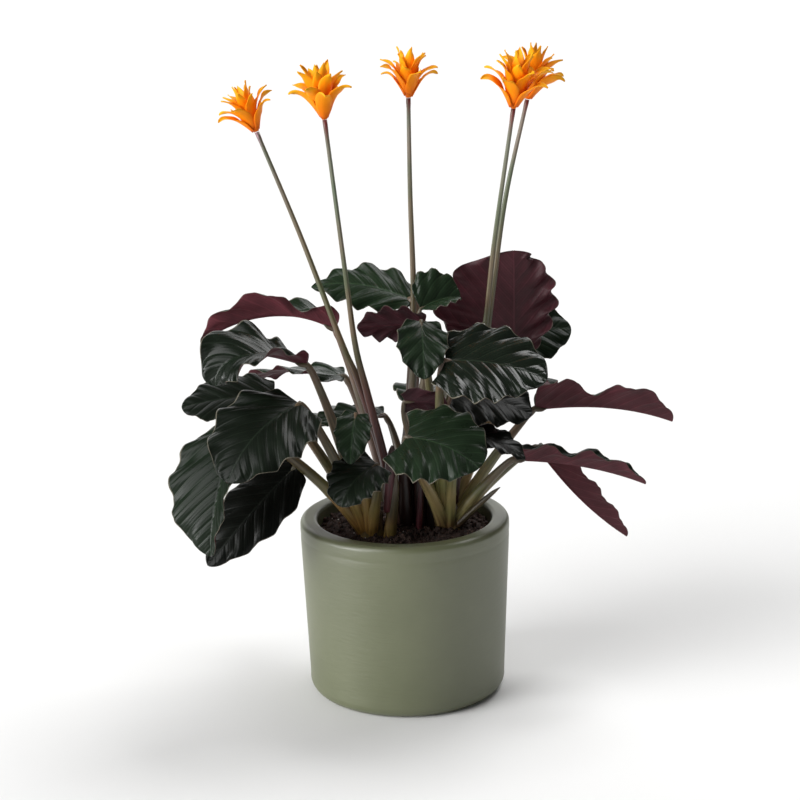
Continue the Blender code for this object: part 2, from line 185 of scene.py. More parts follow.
pot_profile = np.vstack(
    [
        arc((POT_RADIUS - LIP, POT_HEIGHT - LIP), LIP, 90, 0, 14),
        HOLLOW_UNDER_LIP,
        np.linspace(WALL_TOP, WALL_LOW, 18),
        arc((POT_FOOT_RADIUS - FOOT, FOOT), FOOT, 0, -90, 14),
        [(30.0, 0.0), (0.0, 0.0), (0.0, POT_FLOOR)],
        [(POT_INSIDE_FOOT_RADIUS - 6.0, POT_FLOOR), (POT_INSIDE_FOOT_RADIUS, POT_FLOOR + 6.0)],
        arc((MOUTH_RADIUS + INNER_LIP, POT_HEIGHT - INNER_LIP), INNER_LIP, 180, 90, 12),
    ]
)
pot_surface = turned_surface(pot_profile, np.linspace(0, 2 * np.pi, POT_TURNS, endpoint=False))
pot_mesh = mesh_from_grid("pot_clay", pot_surface, closed_across=True, closed_along=True)
put_on_plant("pot_clay", pot_mesh, [glazed_clay()], "pot", "pot")


# The soil: dark damp compost, pressed in to a finger's width below the lip and a little higher in the
# middle. Its top is rough with crumbs, and a few white grains of perlite lie on it.
SOIL_TOP, SOIL_MOUND, SOIL_EDGE, SOIL_BOTTOM = 127.0, 3.0, 65.6, 110.0
SOIL_RINGS, SOIL_TURNS, SCATTER_RADIUS = 74, 200, 63.5
CRUMBS, PERLITE_GRAINS = 1500, 46
HOLLOW_BROWN, CRUMB_BROWN, BARK_BROWN = (0.010, 0.006, 0.005), (0.042, 0.023, 0.017), (0.170, 0.100, 0.074)
PERLITE_SHADE, PERLITE_WHITE = (0.34, 0.31, 0.27), (0.62, 0.60, 0.56)


def soil_height(x, y):
    """Height of the soil's top: a low dome, with ripples that grow finer and lower layer by layer.

    Each layer is a product of two sine waves whose directions turn by a fixed angle from layer to layer.
    """
    r = np.hypot(x, y)
    height = SOIL_TOP + SOIL_MOUND * (1.0 - (r / SOIL_EDGE) ** 2)
    for layer in range(9):
        turn, size = 2.4 * layer + 0.7, 11.0 * 0.68**layer
        a = (x * math.cos(turn) + y * math.sin(turn)) / size
        b = (y * math.cos(turn) - x * math.sin(turn)) / size
        height += 0.14 * size**0.85 * np.sin(2.0 * a + 1.7 * layer) * np.sin(1.6 * b + 0.9 * layer)
    return height


def soil_surface():
    """A disc of rings out to the pot's wall, each point raised to soil_height, then a wall down."""
    r = np.linspace(0.0, SOIL_EDGE, SOIL_RINGS)
    turn = np.linspace(0, 2 * np.pi, SOIL_TURNS, endpoint=False)
    x, y = np.outer(np.cos(turn), r), np.outer(np.sin(turn), r)
    top = np.stack([x, y, soil_height(x, y)], axis=-1)
    top[:, 0, 2] = top[0, 0, 2]
    wall = np.stack([x[:, -1:], y[:, -1:], np.full((SOIL_TURNS, 1), SOIL_BOTTOM)], axis=-1)
    middle = np.broadcast_to(np.array([0.0, 0.0, SOIL_BOTTOM]), (SOIL_TURNS, 1, 3))
    return np.concatenate([top, wall, middle], axis=1)


def compost():
    """Near-black brown, darker in the hollows, with fibre-sized flecks of paler bark."""
    made, shader, add, link = node_tree("compost", 0.92)
    place = add("ShaderNodeTexCoord").outputs["Object"]
    grain = add("ShaderNodeTexNoise", {"Vector": place, "Scale": 420.0, "Detail": 6.0, "Roughness": 0.7})
    # The darkest brown goes where the grain's bump is low, so the hollows come out darker.
    stops = [(0.32, HOLLOW_BROWN), (0.54, CRUMB_BROWN), (0.72, BARK_BROWN)]
    link(colours_between(add, grain.outputs["Fac"], stops), shader.inputs["Base Color"])
    link(raised(add, grain.outputs["Fac"], 0.9, 0.0012), shader.inputs["Normal"])
    return made


def lumps(centres, sizes, seed):
    """A rough little ball for each centre: three rings of six points between two poles, pushed in or out."""
    drawn = np.random.default_rng(seed)
    up, turn = np.radians([-90, -40, 5, 50, 90]), np.radians(np.arange(0, 360, 60))
    rows, sides = len(up), len(turn)
    x, y = np.outer(np.cos(up), np.cos(turn)), np.outer(np.cos(up), np.sin(turn))
    ball = np.stack([x, y, np.outer(np.sin(up), np.ones(sides))], axis=-1)
    push = drawn.uniform(0.7, 1.25, (len(centres), rows, sides, 1))
    push[:, 0] = push[:, 0, :1]
    push[:, -1] = push[:, -1, :1]
    squeeze = drawn.uniform(0.6, 1.3, (len(centres), 1, 1, 3))
    balls = centres[:, None, None, :] + sizes[:, None, None, None] * push * squeeze * ball
    index = np.arange(rows * sides).reshape(rows, sides)
    cells = grid_cells(np.hstack([index, index[:, :1]]))
    faces = cells[None] + rows * sides * np.arange(len(centres))[:, None, None]
    return balls.reshape(-1, 3), faces.reshape(-1, 4)


def scattered(count, least, most, seed, sink):
    """Random places on the soil, evenly spread over its disc, with a size for each, most of them small."""
    drawn = np.random.default_rng(seed)
    r, turn = SCATTER_RADIUS * np.sqrt(drawn.random(count)), drawn.uniform(0, 2 * np.pi, count)
    x, y = r * np.cos(turn), r * np.sin(turn)
    size = least + (most - least) * drawn.random(count) ** 2.5
    return np.stack([x, y, soil_height(x, y) + size * sink], axis=1), size


def perlite():
    """Puffed white glass: matt and faintly grey."""
    made, shader, add, link = node_tree("perlite", 0.8)
    place = add("ShaderNodeTexCoord").outputs["Object"]
    grain = add("ShaderNodeTexNoise", {"Vector": place, "Scale": 700.0, "Detail": 3.0})
    tone = colours_between(add, grain.outputs["Fac"], [(0.3, PERLITE_SHADE), (0.7, PERLITE_WHITE)])
    link(tone, shader.inputs["Base Color"])
    return made


compost_finish = compost()
soil_mesh = mesh_from_grid("soil_top", soil_surface(), closed_along=True)
put_on_plant("soil_top", soil_mesh, [compost_finish], "soil", "soil")
crumbs = lumps(*scattered(CRUMBS, 0.6, 2.6, seed=3, sink=0.2), seed=4)
put_on_plant("soil_crumbs", mesh_from_faces("soil_crumbs", *crumbs), [compost_finish], "soil")
grains = lumps(*scattered(PERLITE_GRAINS, 0.5, 1.3, seed=8, sink=0.5), seed=9)
put_on_plant("perlite_grains", mesh_from_faces("perlite_grains", *grains), [perlite()], "soil")


# The leaf blades: thin ruffled ovals, glossy dark green above and wine purple underneath, on a slim midrib.
# Side veins run out in close curved rows with a soft pleat between them, and a thin pale rim follows the
# edge. Each hangs on its own petiole.
BASE_HALF_WIDTH, TIP_HALF_WIDTH, NECK_GAP = 2.4, 0.7, 0.45
VEIN_SPACING, PLEAT_HEIGHT, BLADE_THICKNESS, RIM_THINNING = 11.0, 0.75, 0.5, 0.3
# The old green, nearly black, also serves as painted shade on the right_shaded leaf.
YOUNG_GREEN, OLD_AND_SHADE_GREEN = np.array([0.0110, 0.0220, 0.0100]), np.array([0.0038, 0.0048, 0.0036])
WINE, CRIMSON = np.array([0.034, 0.0100, 0.0140]), np.array([0.105, 0.0230, 0.0310])
RIM_ABOVE, RIM_BELOW = (0.120, 0.110, 0.082, 1.0), (0.085, 0.070, 0.052, 1.0)


def leaf(name, shoot, neck, heading, rise, droop, length, width, **more):
    """A leaf's shape and place. Angles are in degrees, heading 0 to the right and 90 away from the viewer."""
    made = {
        "name": name, "shoot": shoot, "neck": neck, "heading": heading, "rise": rise, "droop": droop,
        "length": length, "width": width, "roll": 0.0, "twist": 0.0, "fold": 15.0, "curl": 20.0,
        "lobe": 6.0, "broad": 0.75, "tip": 0.6, "dips": (), "waves": 4.0, "wave": 2.6, "ease": 1.3,
        "bow": 0.12, "uneven": 0.0, "age": 0.6, "gloss": 0.2, "red": 0.5, "stout": 1.0,
    }
    made.update(more)
    return made


# Each leaf's age runs from 0, a young green leaf, to 1, an old one that is nearly black; on right_shaded
# the darkest green is partly painted shade from the leaf above. The gloss and the red say how wet the upper
# face looks and how crimson the lower face is. The stout widens the petiole's upper end.
LEAVES = [
    leaf(
        "upper_left", "middle", (-50, 20, 279), 180, 36, 72, 108, 46,
        roll=-22, fold=50, curl=16, ease=0.76, dips=[(-1, 0.29, 0.8, 0.09)], age=0.1, gloss=0.5, red=0.9,
    ),
    leaf(
        "left_high", "left", (-69, -42, 267), 184, 18, 112, 80, 64,
        roll=-30, twist=85, fold=26, wave=4, ease=2.6, broad=1.05, age=0.7, gloss=0.5,
    ),
    leaf(
        "left_far", "left", (-96, -6, 234), 180, 2, 18, 70, 54,
        roll=26, fold=10, tip=0.5, wave=1.5, age=0.8,
    ),
    leaf(
        "left_broad", "left", (-74, -62, 243), -135, -8, 54, 86, 76,
        roll=20, fold=8, lobe=8, wave=3.5, tip=0.55, age=0.8,
    ),
    leaf(
        "left_low", "left", (-117, -56, 226), -117, -42, 40, 100, 70,
        roll=-22, fold=34, uneven=0.2, wave=2, broad=0.85, tip=0.55, age=0.5,
    ),
    leaf("left_hanging", "left", (-80, -34, 188), -157, -39, 10, 98, 48, roll=44, fold=8, age=1.0),
    leaf(
        "left_back", "middle", (-44, 36, 238), 180, 14, 40, 82, 42,
        roll=14, twist=-56, fold=12, age=0.0, gloss=0.6,
    ),
    leaf("back_left", "back", (-14, 52, 202), 184, 4, 30, 62, 38, roll=4, fold=24, age=0.4),
    leaf("small_left", "left", (-34, -60, 234), -100, -30, 52, 40, 27, roll=10, wave=2, age=0.2),
    leaf(
        "small_front", "left", (-19, -62, 196), -142, -10, 62, 44, 47,
        roll=18, waves=5, wave=2, tip=0.5, age=0.7,
    ),
    leaf(
        "front", "right", (2, -74, 220), -30, 2, 40, 62, 70,
        roll=-34, fold=6, lobe=20, waves=4.5, tip=0.5, age=0.2, gloss=0.4,
    ),
    leaf(
        "right_glossy", "right", (31, -58, 272), -14, 4, 30, 76, 70,
        roll=-38, fold=8, lobe=18, waves=5, age=0.75, gloss=0.85,
    ),
    # This leaf lies under right_glossy; its darkest green is partly painted shade from the leaf above.
    leaf(
        "right_shaded", "right", (38, -26, 239), -12, -2, 30, 60, 60,
        roll=-24, fold=10, tip=0.5, age=1.0, gloss=0.0,
    ),
    leaf("small_right", "right", (44, -52, 216), -16, -4, 40, 50, 32, roll=-12, wave=1.5, age=1.0),
    leaf(
        "right_high", "right", (100, 0, 219), 2, 4, 26, 106, 60,
        roll=24, fold=46, curl=14, broad=0.66, tip=0.5, wave=2,
        dips=[(1, 0.42, 0.55, 0.15), (-1, 0.38, 0.3, 0.16)],
    ),
    leaf(
        "right_middle", "right", (82, -28, 188), -6, -2, 20, 100, 38,
        roll=12, fold=48, curl=14, tip=0.5, wave=2, dips=[(1, 0.4, 0.4, 0.1), (-1, 0.4, 0.35, 0.09)],
    ),
    leaf("right_low", "right", (103, 14, 185), -4, -56, -22, 100, 44, roll=26, fold=42, wave=1.2, tip=0.5),
    leaf(
        "upper_purple", "right", (87, 44, 252), -86, 86, -6, 80, 94,
        fold=4, curl=10, lobe=4, broad=1.05, tip=0.5, uneven=0.3, waves=5, wave=4, red=0.25,
        dips=[
            (-1, 0.93, 0.30, 0.025),
            (-1, 0.62, 0.09, 0.04),
            (-1, 0.40, 0.10, 0.05),
            (1, 0.75, 0.05, 0.05),
        ],
    ),
    leaf(
        "upper_back", "back", (68, 80, 248), 12, 20, 26, 70, 58,
        roll=-45, fold=8, tip=0.5, age=0.5, gloss=0.0,
    ),
    leaf(
        "top_left", "middle", (10, 34, 297), 166, 22, 38, 82, 46,
        roll=34, fold=8, wave=3.5, tip=0.8, age=0.0, stout=1.5,
    ),
    leaf(
        "top_right", "middle", (15, 3, 297), 16, 26, 34, 32, 50,
        roll=-30, fold=45, tip=0.5, wave=1.5, bow=0.03, lobe=1, age=0.0, gloss=0.6,
    ),
    leaf(
        "top_purple", "middle", (18, -12, 289), 184, 2, 8, 50, 38,
        roll=-52, fold=12, broad=1.0, tip=0.5, age=0.5, red=0.1, stout=1.4,
    ),
    leaf(
        "centre_front", "right", (15, -38, 297), -88, -30, 46, 48, 38,
        roll=8, twist=-20, fold=8, wave=3, age=0.4,
    ),
    leaf(
        "inner_red", "right", (1, -36, 236), 0, 4, 26, 32, 26,
        roll=62, fold=8, tip=0.5, waves=2, wave=1.5, red=0.0,
    ),
    leaf("back_high", "back", (52, 76, 262), 70, 50, 56, 78, 56, fold=14, age=0.3),
    leaf("back_right", "back", (58, 66, 220), 40, 8, 46, 90, 60, fold=14, age=0.6),
    leaf("back_middle", "back", (30, 78, 198), 98, 18, 54, 92, 62, fold=14, age=0.5),
    leaf("back_low", "back", (-34, 74, 190), 142, 4, 46, 94, 60, fold=14, age=0.7),
]


def leaf_axes(leaf, u):
    """Unit vectors along the midrib, to its right and out of the upper face, as arrays over u.

    From the rise at the neck the slope falls by the droop, later on the way where the ease is large. The
    blade rolls about its midrib by the roll plus a share of the twist.
    """
    heading = np.full(np.shape(u), np.radians(float(leaf["heading"])))
    slope = np.radians(leaf["rise"] - leaf["droop"] * np.maximum(u, 0.0) ** leaf["ease"])
    roll = np.radians(leaf["roll"] + leaf["twist"] * u)[..., None]
    level = np.cos(slope)
    along = np.stack([level * np.cos(heading), level * np.sin(heading), np.sin(slope)], axis=-1)
    side = np.stack([np.sin(heading), -np.cos(heading), np.zeros_like(heading)], axis=-1)
    up = np.cross(side, along)
    return along, side * np.cos(roll) + up * np.sin(roll), up * np.cos(roll) - side * np.sin(roll)


def midrib_line(leaf, steps=192):
    """Evenly spaced places u and points along the midrib: the neck plus the running sum of the direction."""
    run = leaf_axes(leaf, (np.arange(steps) + 0.5) / steps)[0] * (leaf["length"] / steps)
    line = np.vstack([np.zeros(3), np.cumsum(run, axis=0)])
    line += np.array(leaf["neck"], float) + leaf_axes(leaf, np.zeros(1))[0][0] * NECK_GAP
    return np.arange(steps + 1) / steps, line


def half_width(leaf, u, side):
    """Half width at u: w / 2 times sin(pi u^broad)^tip, less the dips, but no less than the midrib needs.

    A dip (side, place, depth, spread) takes away the share depth exp(-((u - place) / spread)^2) on one side.
    """
    full = leaf["width"] / 2 * np.sin(np.pi * np.clip(u, 0, 1) ** leaf["broad"]) ** leaf["tip"]
    for which, place, depth, spread in leaf["dips"]:
        full = full * np.where(side == which, 1.0 - depth * np.exp(-(((u - place) / spread) ** 2)), 1.0)
    return np.maximum(full, BASE_HALF_WIDTH + (TIP_HALF_WIDTH - BASE_HALF_WIDTH) * u)


def vein_count(leaf, u, away):
    """Counts the main side veins from the base: (L u - 1.1 d - 0.003 d^2) / spacing, d from the midrib."""
    return (leaf["length"] * u - 1.1 * away - 0.003 * away**2) / VEIN_SPACING


def leaf_surface(leaf, u, v):
    """Middle surface of the blade over u from neck to tip and v from -1 to 1 across it, and its vein count.

    From the midrib each half leaves at the fold angle and bends down by the curl, like an arc. Ripples follow
    the side veins and grow with the square of the distance from the midrib, with a finer frill right at the
    edge. A pleat bulges up between two veins, no two quite alike. The base reaches back round the petiole in
    two lobes.
    """
    ends, line = midrib_line(leaf)
    out, side = np.abs(v), np.where(v >= 0, 1.0, -1.0)
    back = leaf["lobe"] / leaf["length"] * out**1.5 * np.minimum(1.0, 14.0 * u) * (1.0 - u) ** 4
    place_u = u - back
    at = np.maximum(place_u, 0.0)
    on_line = np.stack([np.interp(at, ends, line[:, axis]) for axis in range(3)], axis=-1)
    along, right, normal = leaf_axes(leaf, at)
    on_line = on_line + along * (np.minimum(place_u, 0.0) * leaf["length"])[..., None]

    fold, bend = math.radians(leaf["fold"]), math.radians(leaf["curl"])
    reach = (math.sin(fold) - np.sin(fold - bend * out)) / bend
    rise = (np.cos(fold - bend * out) - math.cos(fold)) / bend
    turn = 2 * np.pi * leaf["waves"] * (u - 0.28 * out) + np.where(side > 0, 1.3, 0.0)
    fade = np.minimum(1.0, np.minimum(6.0 * u, 7.0 * (1.0 - u) + 0.1))
    ripple = leaf["wave"] * out**2 * np.sin(turn) * fade
    ripple += 0.35 * out**6 * np.sin(3.1 * turn + 1.0) * fade
    half = half_width(leaf, u, side)
    half = half * (1.0 + 0.05 * out * np.cos(turn) * fade + leaf["uneven"] * side * fade)
    away = out * half
    count = vein_count(leaf, place_u, away) + np.where(side > 0, 0.5, 0.0)
    unlike = 0.7 + 0.3 * np.sin(1.9 * count + side + leaf["length"])
    pleat = (np.abs(np.sin(np.pi * count)) ** 0.8 - 0.6) * unlike
    pleat *= PLEAT_HEIGHT * np.minimum(1.0, away / 7.0) * fade * (1.0 - 0.4 * out**3)
    place = on_line + right * (side * half * reach)[..., None]
    return place + normal * (half * rise + ripple + pleat)[..., None], count, away


def surface_normals(places):
    """Unit normals of a grid of points, from the cross product of its two directions."""
    cross = np.cross(np.gradient(places, axis=0), np.gradient(places, axis=1))
    return cross / np.maximum(np.linalg.norm(cross, axis=-1, keepdims=True), 1e-9)


def shell_faces(index):
    """Faces of a thin shell over two like grids of points: one skin, the other turned over, and the rim."""
    cells = grid_cells(index)
    ring = np.concatenate([index[0, :-1], index[:-1, -1], index[-1, :0:-1], index[:0:-1, 0]])
    after = np.roll(ring, -1)
    rim = np.stack([ring, ring + index.size, after + index.size, after], axis=1)
    return np.concatenate([cells, cells[:, ::-1] + index.size, rim])


def add_uv_map(mesh, name, pairs):
    """A UV map that gives every corner of a face the pair of values of its point."""
    corners = np.empty(len(mesh.loops), np.int32)
    mesh.loops.foreach_get("vertex_index", corners)
    uv = mesh.uv_layers.new(name=name)
    uv.data.foreach_set("uv", pairs[corners].astype(np.float32).ravel())


def blade_mesh(leaf):
    """The blade as two skins half a millimetre apart, thinner at the rim, with a round midrib underneath.

    Slot 0 is the upper skin and slot 1 the lower one. One UV map holds u, and v moved into 0 to 1. The other
    holds the vein count and the distance from the midrib in centimetres.
    """
    rows, columns = int(leaf["length"] * 1.25) + 8, 2 * int(leaf["width"] * 0.30) + 1
    t = np.linspace(0.0, 1.0, rows)
    u = 0.5 * t + 0.25 * (1.0 - np.cos(np.pi * t))
    v = np.sin(np.linspace(-1.0, 1.0, columns) * 0.40 * np.pi) / math.sin(0.40 * np.pi)
    uu, vv = np.meshgrid(u, v, indexing="ij")
    middle, vein, away = leaf_surface(leaf, uu, vv)
    normal = -surface_normals(middle)
    thickness = BLADE_THICKNESS - RIM_THINNING * np.abs(vv) ** 6
    rib = (1.0 * (1.0 - uu) ** 1.5 + 0.2) * np.exp(-((away / (0.5 + 0.9 * (1.0 - uu))) ** 2))
    top = middle + normal * (thickness / 2 - 0.25 * rib)[..., None]
    under = middle - normal * (thickness / 2 + rib)[..., None]

    points = np.concatenate([top.reshape(-1, 3), under.reshape(-1, 3)])
    faces = shell_faces(np.arange(rows * columns).reshape(rows, columns))
    mesh = mesh_from_faces("leaf_" + leaf["name"], points, faces)
    slots = np.ones(len(faces), np.int32)
    slots[: (rows - 1) * (columns - 1)] = 0
    mesh.polygons.foreach_set("material_index", slots)
    across = vv / 2 + 0.5
    for name, first, second in (("along_and_across", uu, across), ("vein_and_away", vein, away / 10.0)):
        add_uv_map(mesh, name, np.tile(np.stack([first.ravel(), second.ravel()], axis=1), (2, 1)))
    return mesh


def vein_pattern(add):
    """Shader values over a blade: the share of the way to the edge, the veins, fine lines and the midrib."""
    flat, vein = (
        add("ShaderNodeSeparateXYZ", {"Vector": add("ShaderNodeUVMap", uv_map=name).outputs["UV"]}).outputs
        for name in ("along_and_across", "vein_and_away")
    )

    def calc(operation, a, b=0.0, c=0.0):
        return add("ShaderNodeMath", {0: a, 1: b, 2: c}, operation=operation).outputs["Value"]

    out = calc("ABSOLUTE", calc("MULTIPLY_ADD", flat["Y"], 2.0, -1.0))
    turn = calc("MULTIPLY", vein["X"], 2 * math.pi)
    near_vein = calc("POWER", calc("MULTIPLY_ADD", calc("COSINE", turn), 0.5, 0.5), 14.0)
    fine = calc("POWER", calc("MULTIPLY_ADD", calc("COSINE", calc("MULTIPLY", turn, 4.0)), 0.5, 0.5), 3.0)
    width = calc("MULTIPLY_ADD", flat["X"], -0.035, 0.075)
    midrib = calc("LESS_THAN", vein["Y"], width)
    return out, near_vein, fine, midrib, calc


def upper_skin(leaf):
    """Glossy dark green, a shade paler along the sunk veins and the midrib, with a thin pale rim."""
    made, shader, add, link = node_tree("leaf_upper_" + leaf["name"], 0.33)
    out, near_vein, fine, midrib, calc = vein_pattern(add)
    age, gloss = leaf["age"], leaf["gloss"]
    # At full age the blend is all old green, which on right_shaded partly paints the shade it lies in.
    base = YOUNG_GREEN * (1 - age) + OLD_AND_SHADE_GREEN * age
    pale = base * 2.0 + np.array([0.002, 0.0025, 0.002])
    place = add("ShaderNodeTexCoord").outputs["Object"]
    cloud = add("ShaderNodeTexNoise", {"Vector": place, "Scale": 60.0, "Detail": 6.0}).outputs["Fac"]
    tone = calc("MULTIPLY_ADD", cloud, 0.6, calc("MULTIPLY", near_vein, 0.14))
    tone = calc("MULTIPLY_ADD", fine, 0.14, tone)
    body = colours_between(add, tone, [(0.15, base * 0.6), (0.42, base), (0.85, pale)])
    ribbed = mixed_colours(add, calc("MULTIPLY", midrib, 0.6), body, (*(pale * 1.2), 1.0))
    rim = calc("MULTIPLY", calc("GREATER_THAN", out, 0.978), 0.8)
    link(mixed_colours(add, rim, ribbed, RIM_ABOVE), shader.inputs["Base Color"])
    least = 0.31 - 0.19 * gloss
    shine = add("ShaderNodeMapRange", {"Value": cloud, "To Min": least, "To Max": least + 0.10})
    link(shine.outputs["Result"], shader.inputs["Roughness"])
    cells = add("ShaderNodeTexNoise", {"Vector": place, "Scale": 1400.0, "Detail": 2.0}).outputs["Fac"]
    height = calc("MULTIPLY_ADD", fine, 0.45, calc("MULTIPLY", cells, 0.55))
    veined = raised(add, near_vein, 0.5, 0.0004, sunk=True)
    link(raised(add, height, 0.35, 0.00025, over=veined), shader.inputs["Normal"])
    shader.inputs["Specular IOR Level"].default_value = 0.08 + 0.22 * gloss
    return made


def lower_skin(leaf):
    """Satin wine purple, with raised veins a shade apart from the flesh between them."""
    made, shader, add, link = node_tree("leaf_lower_" + leaf["name"], 0.48)
    out, near_vein, fine, midrib, calc = vein_pattern(add)
    base = WINE * (1 - leaf["red"]) + CRIMSON * leaf["red"]
    place = add("ShaderNodeTexCoord").outputs["Object"]
    cloud = add("ShaderNodeTexNoise", {"Vector": place, "Scale": 60.0, "Detail": 6.0}).outputs["Fac"]
    tone = calc("MULTIPLY_ADD", cloud, 0.7, calc("MULTIPLY", near_vein, 0.12))
    tone = calc("MULTIPLY_ADD", fine, 0.08, tone)
    body = colours_between(add, tone, [(0.2, base * 0.6), (0.45, base), (0.9, base * 1.9)])
    ribbed = mixed_colours(add, calc("MULTIPLY", midrib, 0.6), body, (*(base * 1.7), 1.0))
    rim = calc("MULTIPLY", calc("GREATER_THAN", out, 0.985), 0.6)
    link(mixed_colours(add, rim, ribbed, RIM_BELOW), shader.inputs["Base Color"])
    cells = add("ShaderNodeTexNoise", {"Vector": place, "Scale": 1400.0, "Detail": 2.0}).outputs["Fac"]
    low = calc("MULTIPLY", calc("MULTIPLY_ADD", fine, 0.5, cells), 0.3)
    height = calc("MULTIPLY_ADD", near_vein, 0.6, low)
    link(raised(add, height, 0.4, 0.0004), shader.inputs["Normal"])
    shader.inputs["Specular IOR Level"].default_value = 0.22
    return made


for one in LEAVES:
    name = one["name"]
    skins = [upper_skin(one), lower_skin(one)]
    put_on_plant("blade_" + name, blade_mesh(one), skins, "leaf", "leaf_" + name)


# The petioles: a stalk for each leaf, sheathed and broad at the soil, slim above, and running on under the
# blade as its midrib. They spring from four crowns of fused sheaths, yellow-green at the foot and olive to
# wine above.
CROWNS = {"left": (-26.0, -20.0), "middle": (-4.0, 8.0), "right": (32.0, -8.0), "back": (8.0, 34.0)}
CROWN_RADIUS, CROWN_TOP, CROWN_TAPER = 11.0, 147.0, 1.5
PETIOLE_FOOT, PETIOLE_NECK, PULVINUS, UNDER_BLADE = 5.2, 2.3, 8.0, 10.0
LEFT_STALK = [
    (0.0, (0.300, 0.170, 0.030)),
    (0.16, (0.280, 0.210, 0.060)),
    (0.40, (0.110, 0.085, 0.034)),
    (0.75, (0.084, 0.060, 0.032)),
    (0.92, (0.110, 0.080, 0.040)),
    (1.0, (0.050, 0.034, 0.022)),
]
MIDDLE_STALK = [
    (0.0, (0.060, 0.032, 0.022)),
    (0.20, (0.110, 0.070, 0.045)),
    (0.45, (0.165, 0.112, 0.078)),
    (0.80, (0.150, 0.108, 0.066)),
    (0.93, (0.080, 0.070, 0.040)),
    (1.0, (0.050, 0.038, 0.024)),
]
RIGHT_STALK = [
    (0.0, (0.200, 0.110, 0.040)),
    (0.14, (0.340, 0.280, 0.110)),
    (0.45, (0.190, 0.155, 0.070)),
    (0.75, (0.085, 0.062, 0.034)),
    (0.92, (0.080, 0.062, 0.034)),
    (1.0, (0.060, 0.034, 0.026)),
]
BACK_STALK = [
    (0.0, (0.060, 0.036, 0.016)),
    (0.30, (0.075, 0.058, 0.026)),
    (0.75, (0.070, 0.052, 0.030)),
    (0.93, (0.085, 0.070, 0.036)),
    (1.0, (0.050, 0.034, 0.022)),
]


def tube_surface(path, radius, sides=16):
    """A round tube: at each path point a ring of the given radius, square to the path and never twisting.

    The ring's first direction is carried from point to point and kept at right angles to the path. Both ends
    close to a point.
    """
    ahead = np.gradient(path, axis=0)
    ahead /= np.linalg.norm(ahead, axis=1, keepdims=True)
    lead = np.cross(ahead[0], [0.3, 0.9, 0.2])
    leads = []
    for direction in ahead:
        lead = lead - direction * lead.dot(direction)
        lead = lead / np.linalg.norm(lead)
        leads.append(lead)
    across = np.array(leads)
    other = np.cross(ahead, across)
    turn = np.linspace(0, 2 * np.pi, sides, endpoint=False)[None, :, None]
    ring = np.cos(turn) * across[:, None] + np.sin(turn) * other[:, None]
    radius = np.asarray(radius, float)
    radius = radius[:, None] if radius.ndim == 1 else radius
    skin = path[:, None] + ring * np.broadcast_to(radius, (len(path), sides))[..., None]
    foot, tip = (np.repeat(path[i][None, None], sides, axis=1) for i in (0, -1))
    return np.concatenate([foot, skin, tip])


def tube_mesh(name, path, radius, sides=16):
    """The tube as a mesh, with a UV map of place along it and round it."""
    skin = tube_surface(path, radius, sides)
    rows = len(skin)
    mesh = mesh_from_grid(name, skin, closed_across=True, flip=True)
    along = np.concatenate([[0.0], np.linspace(0, 1, rows - 2), [1.0]])
    pairs = np.stack([np.repeat(along, sides), np.tile(np.arange(sides) / sides, rows)], axis=1)
    add_uv_map(mesh, "along_and_round", pairs)
    return mesh


def four_point_curve(a, b, c, d, t):
    """The sum of s cubed a, 3 s squared t b, 3 s t squared c and t cubed d, with s = 1 - t."""
    return a * (1 - t) ** 3 + b * 3 * (1 - t) ** 2 * t + c * 3 * (1 - t) * t**2 + d * t**3


def petiole_path(leaf, steps=48, joint_steps=9):
    """A bend from the crown to the joint under the blade, on to the neck, then along under the midrib.

    The radius falls evenly over the bend but for one faint ring, swells at the joint and thins out under the
    midrib.
    """
    x, y = CROWNS[leaf["shoot"]]
    neck = np.array(leaf["neck"], float)
    away = np.array([neck[0] - x, neck[1] - y, 0.0])
    start = np.array([x, y, SOIL_TOP + 1.0]) + away / np.linalg.norm(away) * 4.0
    straight = (neck - start) / np.linalg.norm(neck - start)
    arriving = 0.25 * leaf_axes(leaf, np.zeros(1))[0][0] + 0.75 * straight
    arriving = arriving / np.linalg.norm(arriving)
    joint = neck - arriving * PULVINUS
    bow = np.linalg.norm(joint - start) * leaf["bow"]
    first = start + (joint - start) * 0.25 + np.array([0, 0, bow])
    second = joint - arriving * bow - (joint - start) * 0.12
    place = np.linspace(0, 1, steps)
    curve = four_point_curve(start, first, second, joint, place[:, None])
    swell = np.linspace(0, 1, joint_steps)[1:]
    last = joint + (neck - joint) * swell[:, None]

    slim = 0.6 + 0.4 * min(1.0, max(0.0, (leaf["length"] - 36.0) / 40.0))
    top = slim * PETIOLE_NECK * leaf["stout"]
    ring = 0.3 * np.exp(-(((place - 0.34) / 0.02) ** 2))
    bend_radius = PETIOLE_FOOT + (top * 1.15 - PETIOLE_FOOT) * place + ring
    joint_radius = top * np.interp(swell, [0, 0.5, 1], [1.15, 1.2, 1.0])
    ends, line = midrib_line(leaf)
    under = swell * UNDER_BLADE
    shrink = top * (1.0 - swell) ** 0.8
    at = under / leaf["length"]
    on_line = np.stack([np.interp(at, ends, line[:, axis]) for axis in range(3)], axis=-1)
    on_line = on_line - leaf_axes(leaf, at)[2] * (shrink * np.minimum(1.0, under / 5.0) + 0.1)[:, None]
    return np.vstack([curve, last, on_line]), np.concatenate([bend_radius, joint_radius, shrink + 0.15])


